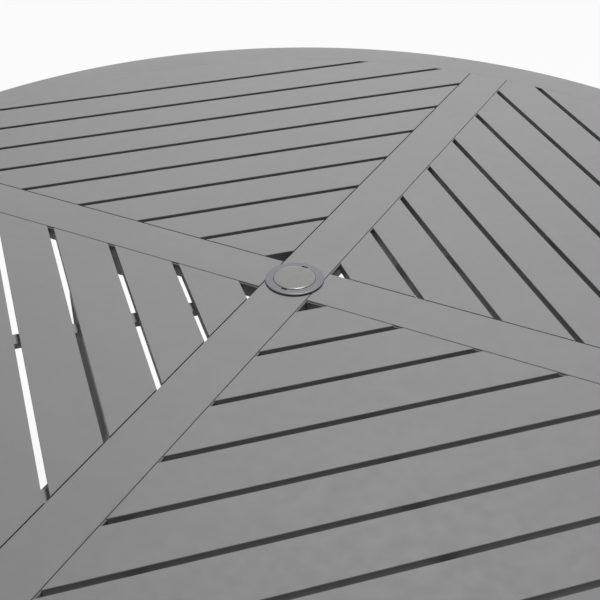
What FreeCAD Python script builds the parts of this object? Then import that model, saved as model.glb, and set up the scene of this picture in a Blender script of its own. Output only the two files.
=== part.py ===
import FreeCAD, Part
import math
import os
import re
import Sketcher

# A round umbrella table: a slatted aluminium top on four bent legs, with a hole for a pole.
# Lengths are in millimetres and angles in degrees. The origin is on the floor under the middle of
# the top, +Z is up, and the front of the table, from which it is mostly seen, faces -Y.

SIZES = (
    ("TableHeight", 737, "floor to the upper face of the top"),
    ("SeamRadius", 700, "inner radius of the rim, where the slats end"),
    ("SeamGap", 1.2, "open joint along the sides of the rails"),
    ("RimGap", 0.3, "joint between the rim and what ends at it"),
    ("SeamChamfer", 0.5, "broken edge along each seam"),
    ("RimWidth", 62, "width of the rim seen from above"),
    ("RimDepth", 25, "height of the rim"),
    ("RimWall", 2, "wall of the rim's hollow"),
    ("RimNose", 8, "solid nose of the rim, and how far its upper edge is rounded"),
    ("RimLowerEdge", 3, "chamfer of the rim's outer lower edge"),
    ("RailWidth", 64, "width of the two crossing rails"),
    ("RailDepth", 20, "height of the rails"),
    ("RailWall", 2, "wall of the rails"),
    ("LedgeWidth", 1.4, "ledge along each side of a rail, which backs its open joint"),
    ("LedgeThickness", 2, "thickness of the ledge"),
    ("LedgeBevel", 1, "broken upper edge of the ledge"),
    ("LedgeFit", 0.3, "space between a ledge and the skin above it or the tube beside it"),
    ("FirstSlat", 66.75, "centre of the top to the nearest edge of the first slat"),
    ("LastSlat", 73.25, "width of the outermost slat in the middle of its side"),
    ("SlatGap", 7.5, "open gap between slats"),
    ("SlatDepth", 12.5, "height of the slats"),
    ("SlatWall", 1.2, "wall of the slats"),
    ("BraceWidth", 20, "width of the bars under the slats"),
    ("BraceInset", 10, "inner edge of the first slat to the end of the middle bar"),
    ("SideBrace", 276, "centre line of the outer bars from the middle bar"),
    ("HubGap", 22.5, "end of each arm of the hub plate to the end cap of its leg"),
    ("HubThickness", 8, "thickness of the hub plate"),
    ("HubCorner", 10, "broken corners of the hub plate's arms"),
    ("PoleHole", 24.5, "radius of the hole for the umbrella pole"),
    ("SleeveWall", 3.5, "wall of the umbrella ring's sleeve"),
    ("SleeveFit", 0.3, "space round the sleeve in the rail and the hub plate"),
    ("SleeveTail", 6, "sleeve below its nut"),
    ("FlangeRadius", 36.7, "radius of the umbrella ring's flange"),
    ("FlangeHeight", 3.2, "flange above the top"),
    ("FlangeEdge", 2, "chamfer of the flange's outer edge"),
    ("CapLedge", 2, "ledge in the ring that the cap rests on"),
    ("CapSeat", 7, "depth of the cap's seat in the ring"),
    ("CapFit", 0.3, "space round the cap in its seat"),
    ("CapWall", 2.5, "wall of the cap"),
    ("CapEdge", 1.2, "chamfer of the cap's edge"),
    ("CapRise", 1.4, "cap's edge above the flange"),
    ("NotchWidth", 8, "width of the two notches for lifting the cap"),
    ("NotchReach", 2.5, "notch beyond the cap's seat"),
    ("NotchDepth", 2.2, "depth of the notches"),
    ("NutWidth", 70, "ring nut across its flats"),
    ("NutThickness", 8, "thickness of the ring nut"),
    ("ThreadFit", 0.05, "space between a thread's crest and its hole"),
    ("LegRadius", 327, "centre of the top to the upright part of a leg"),
    ("LegWidth", 60, "leg tube across"),
    ("LegDepth", 30, "leg tube along the radius"),
    ("LegWall", 2, "wall of the leg tube"),
    ("LegCorner", 3, "broken corners of the leg tube"),
    ("LegShoulder", 137, "upright part of a leg to the inner end of its shoulder"),
    ("ShoulderBend", 75, "centre line radius of the upper bend"),
    ("KneeBend", 120, "centre line radius of the lower bend"),
    ("KneeHeight", 354, "floor to where the two lower centre lines cross"),
    ("SplayAngle", 52, "slope of the lower leg"),
    ("GlideHeight", 10, "glide below the leg's plug"),
    ("GlideRadius", 16, "middle of the glide's foot to its corners"),
    ("StudRadius", 4, "radius of the glide's stud"),
    ("StudLength", 16, "stud above the glide"),
    ("StudRoom", 2, "hole beyond the stud's end"),
    ("PlugFlange", 4, "plug below the leg's end"),
    ("PlugDepth", 25, "plug inside the leg"),
    ("PlugFit", 0.3, "space round a plug in the leg tube"),
    ("EndCapPlate", 2.5, "end cap outside the leg's shoulder"),
    ("EndCapDepth", 10, "end cap inside the leg's shoulder"),
    ("BoltRadius", 4, "radius of the leg bolts"),
    ("BoltInset", 20, "inner end of the leg's shoulder to its first bolt"),
    ("BoltSpacing", 32, "distance between the two bolts of a leg"),
    ("BoltHoleFit", 0.4, "space round a bolt in the leg and the rail"),
    ("BoltHeadWidth", 13, "bolt head across its flats"),
    ("BoltHeadHeight", 5.4, "height of the bolt head"),
    ("BoltTail", 2, "bolt beyond its nut plate"),
    ("NutPlateWidth", 40, "width of the nut plates in the rails"),
    ("NutPlateThickness", 6, "thickness of the nut plates"),
    ("NutPlateEnd", 12, "nut plate beyond its holes' centres"),
    ("ScrewRadius", 2.5, "radius of the hub plate's screws"),
    ("ScrewHeadWidth", 9, "screw heads across their flats"),
    ("ScrewHeadHeight", 3, "height of the screw heads"),
    ("ScrewTail", 6, "screw beyond the rail's lower wall"),
    ("ScrewInset", 35, "end of a hub plate's arm to its screw"),
)

SLATS_PER_SIDE = 9

# Places worked out from the sizes.
TOP = "TableHeight"
SLAT_BOTTOM = "(TableHeight - SlatDepth)"
RAIL_BOTTOM = "(TableHeight - RailDepth)"
HUB_BOTTOM = "(TableHeight - RailDepth - HubThickness)"
TOP_RADIUS = "(SeamRadius - RimGap)"
SLAT_PITCH = f"((SeamRadius - FirstSlat - LastSlat) / {SLATS_PER_SIDE - 1})"
SKIN_BOTTOM = "(TableHeight - SlatWall)"
LEDGE_TOP = "(TableHeight - SlatWall - LedgeFit)"
LEDGE_BOTTOM = "(TableHeight - SlatWall - LedgeFit - LedgeThickness)"
LEDGE_SIDE = "(RailWidth / 2 + LedgeWidth)"
LEDGE_CLEAR = "(RailWidth / 2 + LedgeWidth + LedgeFit)"
HALF_RAIL = "(RailWidth / 2)"
HALF_RAIL_START = "(RailWidth / 2 + SeamGap)"
BRACE_START = "(FirstSlat + BraceInset)"
SLEEVE = "(PoleHole + SleeveWall)"
SLEEVE_HOLE = "(PoleHole + SleeveWall + SleeveFit)"
SLEEVE_BOTTOM = "(TableHeight - RailDepth - HubThickness - NutThickness - SleeveTail)"
FLANGE_TOP = "(TableHeight + FlangeHeight)"
SEAT_RADIUS = "(PoleHole + CapLedge)"
SEAT_FLOOR = "(TableHeight + FlangeHeight - CapSeat)"
SHOULDER_BOTTOM = "(TableHeight - RailDepth - LegDepth)"
SHOULDER_CENTRE = "(TableHeight - RailDepth - LegDepth / 2)"
SHOULDER_START = "(LegRadius - LegShoulder)"
FIRST_BOLT = "(LegRadius - LegShoulder + BoltInset)"
SECOND_BOLT = "(LegRadius - LegShoulder + BoltInset + BoltSpacing)"
LEG_END = "(GlideHeight + PlugFlange)"
FOOT = "(LegRadius + (KneeHeight - GlideHeight - PlugFlange) / tan(SplayAngle))"
HUB_REACH = "(LegRadius - LegShoulder - EndCapPlate - HubGap)"
HUB_SCREW = "(LegRadius - LegShoulder - EndCapPlate - HubGap - ScrewInset)"

# The four sides of the top and the four corners under which the legs stand, as turns about Z.
SIDES = {"back": 0, "left": 90, "front": 180, "right": 270}
CORNERS = {"back_right": 45, "back_left": 135, "front_left": 225, "front_right": 315}

# The rim's rounded edge is a quarter circle drawn through these angles.
NOSE_ANGLES = (0, 45, 90)
GLIDE_SIDES = 12
UP = FreeCAD.Vector(0, 0, 1)
ORIGIN_POINT = (-1, 1)

doc = FreeCAD.newDocument("umbrella_table")
sheet = doc.addObject("Spreadsheet::Sheet", "Sizes")
for row, (size_name, size, meaning) in enumerate(SIZES, start=1):
    sheet.set(f"A{row}", meaning)
    sheet.set(f"B{row}", str(size))
    sheet.setAlias(f"B{row}", size_name)
doc.recompute()

nodes = []


def bound(formula):
    """The formula with each size written as its cell of the sheet."""
    return re.sub(r"[A-Z][A-Za-z]+", lambda size: "Sizes." + size.group(), formula)


def number(formula):
    """What the formula comes to."""
    return float(sheet.evalExpression(bound(formula)))


def turned(degrees):
    """A turn about the upright axis of the table."""
    return FreeCAD.Placement(FreeCAD.Vector(0, 0, 0), FreeCAD.Rotation(UP, degrees))


def node(piece, label, degrees=0, distance=None):
    """Name a finished piece and put it at its angle and distance round the table."""
    piece.Label = label
    place(piece, degrees, distance)
    nodes.append(piece)
    return piece


def place(piece, degrees, distance=None):
    """Turn a piece about the table's axis, after moving it outwards by a bound distance."""
    piece.Placement = turned(degrees)
    if distance:
        piece.setExpression("Placement.Base.x", f"{bound(distance)} * cos({degrees})")
        piece.setExpression("Placement.Base.y", f"{bound(distance)} * sin({degrees})")


def new_body(name):
    """An empty body."""
    return doc.addObject("PartDesign::Body", name)


def new_sketch(body, plane_role, lift=None):
    """A sketch on one of the body's own origin planes, raised along the plane's normal."""
    sketch = body.newObject("Sketcher::SketchObject", body.Name + "_sketch")
    plane = next(item for item in body.Origin.OriginFeatures if item.Role == plane_role)
    sketch.AttachmentSupport = [(plane, "")]
    sketch.MapMode = "FlatFace"
    if lift:
        sketch.setExpression("AttachmentOffset.Base.z", bound(lift))
    return sketch


def hold(sketch, kind, edge, end, formula):
    """Dimension one point of a sketch from the origin. A formula of 0 puts it on an axis of the
    sketch, of which -1 is the level one and -2 the upright one."""
    if formula == "0":
        axis = -2 if kind == "DistanceX" else -1
        sketch.addConstraint(Sketcher.Constraint("PointOnObject", edge, end, axis))
        return
    constraint = Sketcher.Constraint(kind, *ORIGIN_POINT, edge, end, number(formula))
    index = sketch.addConstraint(constraint)
    sketch.setExpression(f"Constraints[{index}]", bound(formula))


def outline(sketch, points):
    """A closed outline of straight edges through bound points."""
    base = sketch.GeometryCount
    corners = [FreeCAD.Vector(number(across), number(up), 0) for across, up in points]
    for start, end in zip(corners, corners[1:] + corners[:1]):
        sketch.addGeometry(Part.LineSegment(start, end), False)
    for index, (across, up) in enumerate(points):
        edge = base + index
        following = base + (index + 1) % len(points)
        sketch.addConstraint(Sketcher.Constraint("Coincident", edge, 2, following, 1))
        hold(sketch, "DistanceX", edge, 1, across)
        hold(sketch, "DistanceY", edge, 1, up)


def rectangle(sketch, left, right, low, high, corner=None):
    """A rectangle between bound sides, with its corners broken by a bound amount if given."""
    if not corner:
        outline(sketch, [(left, low), (right, low), (right, high), (left, high)])
        return
    points = [
        (f"{left} + {corner}", low),
        (f"{right} - {corner}", low),
        (right, f"{low} + {corner}"),
        (right, f"{high} - {corner}"),
        (f"{right} - {corner}", high),
        (f"{left} + {corner}", high),
        (left, f"{high} - {corner}"),
        (left, f"{low} + {corner}"),
    ]
    outline(sketch, points)


def circle(sketch, across, up, radius):
    """A circle at a bound centre."""
    centre = FreeCAD.Vector(number(across), number(up), 0)
    index = sketch.addGeometry(Part.Circle(centre, UP, number(radius)), False)
    hold(sketch, "DistanceX", index, 3, across)
    hold(sketch, "DistanceY", index, 3, up)
    dimension = sketch.addConstraint(Sketcher.Constraint("Radius", index, number(radius)))
    sketch.setExpression(f"Constraints[{dimension}]", bound(radius))


def pad(body, sketch, length, both_ways=False):
    """Material along the sketch's normal."""
    feature = body.newObject("PartDesign::Pad", body.Name + "_pad")
    feature.Profile = sketch
    feature.setExpression("Length", bound(length))
    if both_ways:
        feature.SideType = "Symmetric"
    return feature


def cut(body, sketch, depth, upwards=False):
    """A pocket of a bound depth, against the sketch's normal or along it."""
    doc.recompute()
    before = body.Shape.Volume
    feature = body.newObject("PartDesign::Pocket", body.Name + "_cut")
    feature.Profile = sketch
    feature.setExpression("Length", bound(depth))
    feature.Reversed = upwards
    doc.recompute()
    if not feature.Shape.Volume < before:
        raise RuntimeError(f"{feature.Name} removes nothing")
    return feature


def revolve(body, sketch):
    """A full turn of the sketch about the upright axis."""
    feature = body.newObject("PartDesign::Revolution", body.Name + "_turned")
    feature.Profile = sketch
    feature.ReferenceAxis = (sketch, ["V_Axis"])
    feature.Angle = 360
    return feature


def repeat_round(body, feature, count):
    """Copies of a feature in equal steps round the body's upright axis."""
    pattern = body.newObject("PartDesign::PolarPattern", body.Name + "_round")
    pattern.Originals = [feature]
    axis = next(item for item in body.Origin.OriginFeatures if item.Role == "Z_Axis")
    pattern.Axis = (axis, [""])
    pattern.Angle = 360
    pattern.Occurrences = count
    body.Tip = pattern
    return pattern


def common(name, base, tool):
    """What two solids share."""
    result = doc.addObject("Part::Common", name)
    result.Base = base
    result.Tool = tool
    return result


def group(label, members):
    """Like pieces that share one name, each a solid of its own."""
    compound = doc.addObject("Part::Compound", label)
    compound.Links = members
    return node(compound, label)


def upright(kind, name, low, height, **sizes):
    """A primitive that stands on a bound height, with its other sizes bound by name."""
    solid = doc.addObject(kind, name)
    solid.setExpression("Placement.Base.z", bound(low))
    solid.setExpression("Height", bound(height))
    for size_name, formula in sizes.items():
        solid.setExpression(size_name, bound(formula))
    return solid


# The limits of the top: the disc inside the rim, and the sector between two rails. All reach
# from the floor to the upper face, and pieces are trimmed to them.


def make_disc():
    """The round space inside the rim."""
    return upright("Part::Cylinder", "disc", "0", TOP, Radius=TOP_RADIUS)


def sector_sketch(body, start, lift):
    """The quarter of the disc at the back, from a bound distance beside the centre lines of two
    rails, drawn at a bound height."""
    sketch = new_sketch(body, "XY_Plane", lift)
    apex = number(start) * math.sqrt(2)
    radius = number(TOP_RADIUS)
    side = (apex + math.sqrt(2 * radius**2 - apex**2)) / 2
    inner = FreeCAD.Vector(0, apex, 0)
    right = FreeCAD.Vector(side - apex, side, 0)
    left = FreeCAD.Vector(apex - side, side, 0)
    angle = math.atan2(right.y, right.x)
    rim = Part.ArcOfCircle(Part.Circle(FreeCAD.Vector(), UP, radius), angle, math.pi - angle)
    for edge in (Part.LineSegment(inner, right), rim, Part.LineSegment(left, inner)):
        sketch.addGeometry(edge, False)
    for edge in range(3):
        sketch.addConstraint(Sketcher.Constraint("Coincident", edge, 2, (edge + 1) % 3, 1))
    sketch.addConstraint(Sketcher.Constraint("Coincident", 1, 3, *ORIGIN_POINT))
    sketch.addConstraint(Sketcher.Constraint("Angle", 0, math.radians(45)))
    sketch.addConstraint(Sketcher.Constraint("Perpendicular", 0, 2))
    hold(sketch, "DistanceX", 0, 1, "0")
    hold(sketch, "DistanceY", 0, 1, f"{start} * sqrt(2)")
    dimension = sketch.addConstraint(Sketcher.Constraint("Radius", 1, radius))
    sketch.setExpression(f"Constraints[{dimension}]", bound(TOP_RADIUS))
    return sketch


def make_sector():
    """The sector between the sides of two rails."""
    body = new_body("sector")
    pad(body, sector_sketch(body, HALF_RAIL_START, "0"), TOP)
    return body


def make_slat_sector():
    """The sector that the slats fill. Below their upper skin it stops short of the ledges."""
    body = new_body("slat_sector")
    pad(body, sector_sketch(body, LEDGE_CLEAR, "0"), SKIN_BOTTOM)
    pad(body, sector_sketch(body, HALF_RAIL_START, SKIN_BOTTOM), "SlatWall")
    return body


# The rim is a hollow section rolled into a ring, with a solid rounded nose.


def make_rim():
    """The ring that closes the top."""
    body = new_body("rim_ring")
    sketch = new_sketch(body, "XZ_Plane")
    low = "(TableHeight - RimDepth)"
    outer = "(SeamRadius + RimWidth)"
    nose = [
        (f"{outer} - RimNose * (1 - cos({angle}))", f"TableHeight - RimNose * (1 - sin({angle}))")
        for angle in NOSE_ANGLES
    ]
    points = [
        ("SeamRadius", low),
        (f"{outer} - RimLowerEdge", low),
        (outer, f"{low} + RimLowerEdge"),
        *nose,
        ("SeamRadius + SeamChamfer", TOP),
        ("SeamRadius", "TableHeight - SeamChamfer"),
    ]
    outline(sketch, points)
    rectangle(
        sketch,
        "SeamRadius + RimWall",
        f"{outer} - RimNose",
        f"{low} + RimWall",
        "TableHeight - RimWall",
    )
    revolve(body, sketch)
    node(body, "rim_ring")


# Two rails cross under the middle. One runs right through and carries the umbrella ring. The
# other is two halves that meet its sides. Each is an extruded flat tube, coped to the rim at its
# end, with a narrow ledge along both sides that lies just below the open joint with the slats.


def rail_section(body, start=None):
    """The rails' hollow section, with its ledges and the broken edges of its upper face."""
    sketch = new_sketch(body, "YZ_Plane", start)
    right_side = [
        (HALF_RAIL, RAIL_BOTTOM),
        (HALF_RAIL, LEDGE_BOTTOM),
        (LEDGE_SIDE, LEDGE_BOTTOM),
        (LEDGE_SIDE, f"{LEDGE_TOP} - LedgeBevel"),
        (f"({LEDGE_SIDE} - LedgeBevel)", LEDGE_TOP),
        (HALF_RAIL, LEDGE_TOP),
        (HALF_RAIL, "TableHeight - SeamChamfer"),
        (f"({HALF_RAIL} - SeamChamfer)", TOP),
    ]
    left_side = [(f"-{across}", up) for across, up in reversed(right_side)]
    outline(sketch, right_side + left_side)
    rectangle(
        sketch,
        f"RailWall - {HALF_RAIL}",
        f"{HALF_RAIL} - RailWall",
        f"{RAIL_BOTTOM} + RailWall",
        "TableHeight - RailWall",
    )
    return sketch


def rail_holes(body, ends):
    """Holes through the lower wall for the leg bolts and for the hub plate's screw."""
    sketch = new_sketch(body, "XY_Plane", RAIL_BOTTOM)
    for end in ends:
        for distance in (FIRST_BOLT, SECOND_BOLT):
            circle(sketch, f"{end} * {distance}", "0", "BoltRadius + BoltHoleFit")
        circle(sketch, f"{end} * {HUB_SCREW}", "0", "ScrewRadius + ThreadFit")
    cut(body, sketch, "RailWall", upwards=True)


def make_long_rail(disc):
    """The rail from front left to back right, with the hole for the umbrella ring's sleeve."""
    body = new_body("long_rail_tube")
    pad(body, rail_section(body), "2 * SeamRadius", both_ways=True)
    rail_holes(body, (-1, 1))
    sketch = new_sketch(body, "XY_Plane", RAIL_BOTTOM)
    circle(sketch, "0", "0", SLEEVE_HOLE)
    cut(body, sketch, "RailDepth", upwards=True)
    node(common("rail_through", body, disc), "rail_through", CORNERS["back_right"])


def make_half_rail(corner, disc):
    """A rail from the side of the long rail to the rim. Only its upper skin reaches over the long
    rail's ledge."""
    body = new_body("half_rail_tube_" + corner)
    section = rail_section(body, HALF_RAIL_START)
    pad(body, section, f"SeamRadius - {HALF_RAIL_START}")
    cope = new_sketch(body, "XY_Plane", SKIN_BOTTOM)
    rectangle(cope, "0", LEDGE_CLEAR, "-RailWidth", "RailWidth")
    cut(body, cope, "RailDepth")
    rail_holes(body, (1,))
    name = "rail_" + corner
    node(common(name, body, disc), name, CORNERS[corner])


# Each quarter of the top is filled with hollow slats, mitred to the rails and trimmed to the rim.
# Their upper skins reach out over the rails' ledges. The outermost one ends at the rim.


def make_slat_tubes():
    """One long hollow slat for each place from the middle outwards."""
    tubes = []
    for index in range(SLATS_PER_SIDE):
        inner = f"(FirstSlat + {index} * {SLAT_PITCH})"
        outer = f"({inner} + {SLAT_PITCH} - SlatGap)"
        if index == SLATS_PER_SIDE - 1:
            outer = "(SeamRadius + SlatWall)"
        body = new_body(f"slat_tube_{index + 1}")
        sketch = new_sketch(body, "YZ_Plane")
        points = [
            (inner, SLAT_BOTTOM),
            (outer, SLAT_BOTTOM),
            (outer, "TableHeight - SeamChamfer"),
            (f"{outer} - SeamChamfer", TOP),
            (f"{inner} + SeamChamfer", TOP),
            (inner, "TableHeight - SeamChamfer"),
        ]
        outline(sketch, points)
        rectangle(
            sketch,
            f"{inner} + SlatWall",
            f"{outer} - SlatWall",
            f"{SLAT_BOTTOM} + SlatWall",
            "TableHeight - SlatWall",
        )
        pad(body, sketch, "2 * SeamRadius", both_ways=True)
        tubes.append(body)
    return tubes


def make_slats(tubes, sector):
    """The slats of all four sides."""
    for side, degrees in SIDES.items():
        for index, tube in enumerate(tubes, start=1):
            name = f"slat_{side}_{index}"
            node(common(name, tube, sector), name, degrees)


def make_braces(sector):
    """Three flat bars under the slats of each side, one in the middle and one to each side."""
    offsets = {"middle": "0", "left_hand": "-SideBrace", "right_hand": "SideBrace"}
    bars = {}
    for hand, offset in offsets.items():
        bar = upright("Part::Box", "bar_" + hand, RAIL_BOTTOM, "RailDepth - SlatDepth")
        bar.setExpression("Length", bound("BraceWidth"))
        bar.setExpression("Width", bound(f"SeamRadius - {BRACE_START}"))
        bar.setExpression("Placement.Base.x", bound(f"{offset} - BraceWidth / 2"))
        bar.setExpression("Placement.Base.y", bound(BRACE_START))
        bars[hand] = []
        for side, degrees in SIDES.items():
            trimmed = common(f"brace_{hand}_{side}", bar, sector)
            place(trimmed, degrees)
            bars[hand].append(trimmed)
    group("middle_braces", bars["middle"])
    group("side_braces", bars["left_hand"] + bars["right_hand"])


# A cross-shaped plate joins the rails under the umbrella hole.


def make_hub_plate():
    """The plate, with a hole for the ring's sleeve and a screw hole in each arm."""
    body = new_body("hub_plate")
    arm = new_sketch(body, "XY_Plane", HUB_BOTTOM)
    rectangle(arm, f"-{HALF_RAIL}", HUB_REACH, f"-{HALF_RAIL}", HALF_RAIL)
    arm_pad = pad(body, arm, "HubThickness")
    cross = repeat_round(body, arm_pad, len(CORNERS))
    doc.recompute()
    ends = []
    for index, edge in enumerate(body.Shape.Edges, start=1):
        box = edge.BoundBox
        is_upright = box.ZLength > box.XLength + box.YLength
        reach = max(abs(box.Center.x), abs(box.Center.y))
        if is_upright and reach > number(f"{HUB_REACH} - HubCorner"):
            ends.append(f"Edge{index}")
    corners = body.newObject("PartDesign::Chamfer", "hub_corners")
    corners.Base = (cross, ends)
    corners.setExpression("Size", bound("HubCorner"))
    holes = new_sketch(body, "XY_Plane", HUB_BOTTOM)
    circle(holes, HUB_SCREW, "0", "ScrewRadius + BoltHoleFit")
    screw_holes = cut(body, holes, "HubThickness", upwards=True)
    repeat_round(body, screw_holes, len(CORNERS))
    centre = new_sketch(body, "XY_Plane", HUB_BOTTOM)
    circle(centre, "0", "0", SLEEVE_HOLE)
    cut(body, centre, "HubThickness", upwards=True)
    node(body, "hub_plate", CORNERS["back_right"])


# The umbrella ring is a turned flange and sleeve, held by a nut under the hub plate. A cap
# closes it, and two notches beside the cap take a fingertip or a coin to lift it.


def make_umbrella_ring():
    """The flanged sleeve, with the cap's seat and the two notches."""
    body = new_body("umbrella_ring")
    sketch = new_sketch(body, "XZ_Plane")
    points = [
        ("PoleHole", SLEEVE_BOTTOM),
        (SLEEVE, SLEEVE_BOTTOM),
        (SLEEVE, TOP),
        ("FlangeRadius", TOP),
        ("FlangeRadius", f"{FLANGE_TOP} - FlangeEdge"),
        ("FlangeRadius - FlangeEdge", FLANGE_TOP),
        (SEAT_RADIUS, FLANGE_TOP),
        (SEAT_RADIUS, SEAT_FLOOR),
        ("PoleHole", SEAT_FLOOR),
    ]
    outline(sketch, points)
    revolve(body, sketch)
    notch = new_sketch(body, "XY_Plane", FLANGE_TOP)
    rectangle(
        notch,
        "PoleHole",
        f"{SEAT_RADIUS} + NotchReach",
        "-NotchWidth / 2",
        "NotchWidth / 2",
    )
    notch_cut = cut(body, notch, "NotchDepth")
    repeat_round(body, notch_cut, 2)
    node(body, "umbrella_ring", CORNERS["back_right"])


def make_ring_nut():
    """The six-sided nut on the sleeve."""
    low = f"({HUB_BOTTOM} - NutThickness)"
    blank = upright("Part::Prism", "nut_blank", low, "NutThickness")
    blank.Polygon = 6
    blank.setExpression("Circumradius", bound("NutWidth / sqrt(3)"))
    hole = upright(
        "Part::Cylinder", "nut_hole", low, "NutThickness", Radius=f"{SLEEVE} + ThreadFit"
    )
    nut = doc.addObject("Part::Cut", "ring_nut")
    nut.Base = blank
    nut.Tool = hole
    node(nut, "ring_nut")


def make_hole_cap():
    """A shallow cup turned upside down."""
    body = new_body("hole_cap")
    sketch = new_sketch(body, "XZ_Plane")
    outer = f"({SEAT_RADIUS} - CapFit)"
    edge_top = f"({FLANGE_TOP} + CapRise)"
    points = [
        (f"{outer} - CapWall", SEAT_FLOOR),
        (outer, SEAT_FLOOR),
        (outer, f"{edge_top} - CapEdge"),
        (f"{outer} - CapEdge", edge_top),
        ("0", edge_top),
        ("0", f"{edge_top} - CapWall"),
        (f"{outer} - CapWall", f"{edge_top} - CapWall"),
    ]
    outline(sketch, points)
    revolve(body, sketch)
    node(body, "hole_cap")


# Each leg is one length of flat tube: a shoulder bolted under the rail, a bend down to the
# upright, and a bend out to the splayed foot. Plastic pieces close both ends.


def leg_path(body):
    """The leg's centre line, from the inner end of the shoulder to below the floor."""
    turn = math.radians(90 - number("SplayAngle"))
    radius = number("LegRadius")
    top = number(SHOULDER_CENTRE)
    upper = number("ShoulderBend")
    lower = number("KneeBend")
    tangent = lower * math.tan(turn / 2)
    knee = number("KneeHeight")
    slope = FreeCAD.Vector(math.sin(turn), -math.cos(turn), 0)
    start = FreeCAD.Vector(number(SHOULDER_START), top, 0)
    bend_in = FreeCAD.Vector(radius - upper, top, 0)
    bend_out = FreeCAD.Vector(radius, top - upper, 0)
    knee_in = FreeCAD.Vector(radius, knee + tangent, 0)
    knee_out = FreeCAD.Vector(radius, knee, 0) + slope * tangent
    end = FreeCAD.Vector(radius, knee, 0) + slope * (knee / math.cos(turn))
    upper_centre = FreeCAD.Vector(radius - upper, top - upper, 0)
    lower_centre = FreeCAD.Vector(radius + lower, knee + tangent, 0)
    sketch = new_sketch(body, "XZ_Plane")
    edges = (
        Part.LineSegment(start, bend_in),
        Part.ArcOfCircle(Part.Circle(upper_centre, UP, upper), 0, math.pi / 2),
        Part.LineSegment(bend_out, knee_in),
        Part.ArcOfCircle(Part.Circle(lower_centre, UP, lower), math.pi, math.pi + turn),
        Part.LineSegment(knee_out, end),
    )
    for edge in edges:
        sketch.addGeometry(edge, False)
    for joined in ((0, 2, 1, 2), (1, 1, 2, 1), (2, 2, 3, 1), (3, 2, 4, 1)):
        sketch.addConstraint(Sketcher.Constraint("Tangent", *joined))
    sketch.addConstraint(Sketcher.Constraint("Horizontal", 0))
    sketch.addConstraint(Sketcher.Constraint("Vertical", 2))
    hold(sketch, "DistanceX", 0, 1, SHOULDER_START)
    hold(sketch, "DistanceY", 0, 1, SHOULDER_CENTRE)
    hold(sketch, "DistanceX", 2, 1, "LegRadius")
    hold(sketch, "DistanceY", 2, 2, "KneeHeight + KneeBend * tan((90 - SplayAngle) / 2)")
    hold(sketch, "DistanceY", 4, 2, "0")
    dimensions = (
        ("Radius", 1, upper, "ShoulderBend"),
        ("Radius", 3, lower, "KneeBend"),
        ("Angle", 4, -math.radians(number("SplayAngle")), "-SplayAngle * 1 deg"),
    )
    for kind, edge, value, formula in dimensions:
        index = sketch.addConstraint(Sketcher.Constraint(kind, edge, value))
        sketch.setExpression(f"Constraints[{index}]", bound(formula))
    return sketch


def make_leg(corner):
    """A leg tube, with its two bolt holes, cut level just above the floor."""
    body = new_body("leg_" + corner)
    path = leg_path(body)
    section = new_sketch(body, "YZ_Plane", SHOULDER_START)
    rectangle(
        section,
        "-LegWidth / 2",
        "LegWidth / 2",
        SHOULDER_BOTTOM,
        RAIL_BOTTOM,
        "LegCorner",
    )
    rectangle(
        section,
        "LegWall - LegWidth / 2",
        "LegWidth / 2 - LegWall",
        f"{SHOULDER_BOTTOM} + LegWall",
        f"{RAIL_BOTTOM} - LegWall",
    )
    tube = body.newObject("PartDesign::AdditivePipe", body.Name + "_tube")
    tube.Profile = section
    tube.Spine = path
    level = new_sketch(body, "XY_Plane", LEG_END)
    rectangle(level, "LegRadius", f"{FOOT} + LegWidth", "-LegWidth", "LegWidth")
    cut(body, level, "2 * LegWidth")
    holes = new_sketch(body, "XY_Plane", SHOULDER_BOTTOM)
    for distance in (FIRST_BOLT, SECOND_BOLT):
        circle(holes, distance, "0", "BoltRadius + BoltHoleFit")
    cut(body, holes, "LegDepth", upwards=True)
    node(body, "leg_" + corner, CORNERS[corner])


def make_leg_plug(corner):
    """The plug in the leg's lower end: a level flange and a slanted core, bored for the glide."""
    body = new_body("plug_" + corner)
    flange = new_sketch(body, "XY_Plane", "GlideHeight")
    half = "(LegDepth / 2 / sin(SplayAngle))"
    rectangle(flange, f"-{half}", half, "-LegWidth / 2", "LegWidth / 2", "LegCorner")
    pad(body, flange, "PlugFlange")
    core = new_sketch(body, "XY_Plane", LEG_END)
    core_half = "((LegDepth / 2 - LegWall - PlugFit) / sin(SplayAngle))"
    core_side = "(LegWidth / 2 - LegWall - PlugFit)"
    rectangle(core, f"-{core_half}", core_half, f"-{core_side}", core_side)
    core_pad = pad(body, core, "PlugDepth")
    core_pad.UseCustomVector = True
    slope = math.radians(number("SplayAngle"))
    core_pad.Direction = FreeCAD.Vector(-math.cos(slope), 0, math.sin(slope))
    core_pad.AlongSketchNormal = True
    hole = new_sketch(body, "XY_Plane", "GlideHeight")
    circle(hole, "0", "0", "StudRadius + ThreadFit")
    cut(body, hole, "StudLength + StudRoom", upwards=True)
    place(body, CORNERS[corner], FOOT)
    return body


def make_end_cap(corner):
    """The cap in the inner end of the leg's shoulder."""
    body = new_body("end_cap_" + corner)
    plate = new_sketch(body, "YZ_Plane", f"{SHOULDER_START} - EndCapPlate")
    rectangle(
        plate,
        "-LegWidth / 2",
        "LegWidth / 2",
        SHOULDER_BOTTOM,
        RAIL_BOTTOM,
        "LegCorner",
    )
    pad(body, plate, "EndCapPlate")
    core = new_sketch(body, "YZ_Plane", SHOULDER_START)
    inset = "(LegWall + PlugFit)"
    rectangle(
        core,
        f"{inset} - LegWidth / 2",
        f"LegWidth / 2 - {inset}",
        f"{SHOULDER_BOTTOM} + {inset}",
        f"{RAIL_BOTTOM} - {inset}",
    )
    pad(body, core, "EndCapDepth")
    place(body, CORNERS[corner])
    return body


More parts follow.
